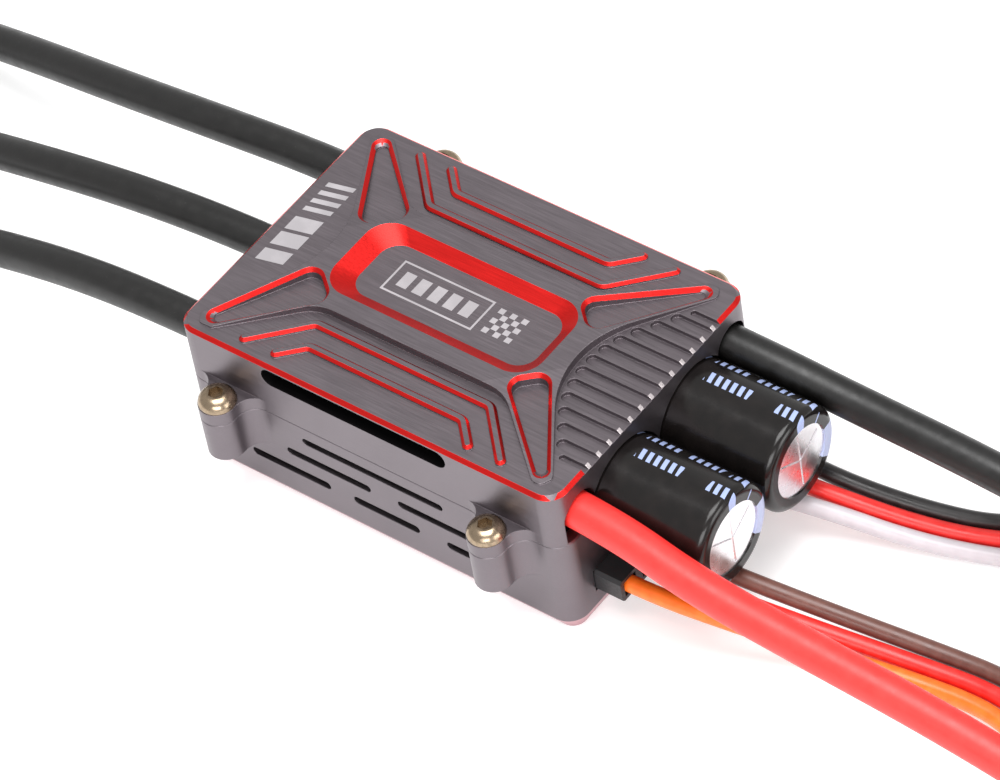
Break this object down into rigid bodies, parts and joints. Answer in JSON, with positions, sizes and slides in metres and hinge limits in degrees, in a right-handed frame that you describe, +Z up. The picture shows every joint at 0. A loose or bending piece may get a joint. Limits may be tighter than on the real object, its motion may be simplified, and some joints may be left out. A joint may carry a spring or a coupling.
{
  "type": "electronic speed controller",
  "caption": "Brushless motor speed controller in a finned two-part metal case, with heavy motor and battery leads, two capacitors and signal plugs.",
  "frame": {"origin": "centre of the case's flat underside", "axes": "+X along the case from the motor leads to the battery leads and capacitors, +Y across the case, +Z up through the finned cover"},
  "size_m": [0.206, 0.0507, 0.0182],
  "materials": {
    "anodised_grey": "fine-milled, anodised warm grey with red chamfers",
    "bronze_steel": "satin bronze-toned nickel",
    "circuit_board": "green solder mask",
    "chip_black": "moulded epoxy",
    "ferrite": "ferrite grey",
    "ceramic_tan": "ceramic",
    "thermal_gel": "soft silicone pad",
    "connector_black": "moulded nylon",
    "gold_pins": "gold flash",
    "can_aluminium": "drawn aluminium",
    "sleeve_black": "shrunk sleeve",
    "bung_rubber": "matt rubber",
    "tinned_copper": "tinned strands and solder",
    "black_silicone": "soft silicone",
    "red_silicone": "soft silicone",
    "orange_wire": "soft vinyl",
    "red_wire": "soft vinyl",
    "brown_wire": "soft vinyl",
    "black_wire": "soft vinyl",
    "white_wire": "soft vinyl",
    "tie_black": "moulded nylon"
  },
  "bodies": {
    "root": {"battery_conductor_stubs": "tinned_copper", "battery_solder_joints": "tinned_copper", "bec_header": "connector_black", "bec_header_pins": "gold_pins", "bec_inductor": "ferrite", "bec_regulator": "chip_black", "board_link_pins": "gold_pins", "board_link_spacers": "connector_black", "capacitor_1_bung": "bung_rubber", "capacitor_1_can": "can_aluminium", "capacitor_1_legs": "tinned_copper", "capacitor_1_sleeve": "sleeve_black", "capacitor_2_bung": "bung_rubber", "capacitor_2_can": "can_aluminium", "capacitor_2_legs": "tinned_copper", "capacitor_2_sleeve": "sleeve_black", "ceramic_capacitors": "ceramic_tan", "control_board": "circuit_board", "cover_screws": "bronze_steel", "gate_drivers": "chip_black", "lower_case": "anodised_grey", "microcontroller": "chip_black", "motor_conductor_stubs": "tinned_copper", "motor_lead_1": "black_silicone", "motor_lead_1_tinned_end": "tinned_copper", "motor_lead_2": "black_silicone", "motor_lead_2_tinned_end": "tinned_copper", "motor_lead_3": "black_silicone", "motor_lead_3_tinned_end": "tinned_copper", "motor_solder_joints": "tinned_copper", "negative_lead": "black_silicone", "negative_lead_tinned_end": "tinned_copper", "positive_lead": "red_silicone", "positive_lead_tinned_end": "tinned_copper", "power_board": "circuit_board", "power_mosfets": "chip_black", "signal_header": "connector_black", "signal_header_pins": "gold_pins", "thermal_pad": "thermal_gel", "upper_cover": "anodised_grey"},
    "signal_plug": {"signal_cable_coil": "brown_wire", "signal_cable_ties": "tie_black", "signal_far_contacts": "gold_pins", "signal_far_plug": "connector_black", "signal_plug_contacts": "gold_pins", "signal_plug_housing": "connector_black", "signal_wire_brown": "brown_wire", "signal_wire_orange": "orange_wire", "signal_wire_red": "red_wire"},
    "bec_plug": {"bec_cable_coil": "black_wire", "bec_cable_ties": "tie_black", "bec_far_contacts": "gold_pins", "bec_far_plug": "connector_black", "bec_plug_contacts": "gold_pins", "bec_plug_housing": "connector_black", "bec_wire_black": "black_wire", "bec_wire_red": "red_wire", "bec_wire_white": "white_wire"}
  },
  "joints": [
    {"name": "signal_plug_slide", "type": "slide", "parent": "root", "child": "signal_plug", "axis": [1, 0, 0], "range_m": [0, 0.008]},
    {"name": "bec_plug_slide", "type": "slide", "parent": "root", "child": "bec_plug", "axis": [1, 0, 0], "range_m": [0, 0.008]}
  ]
}
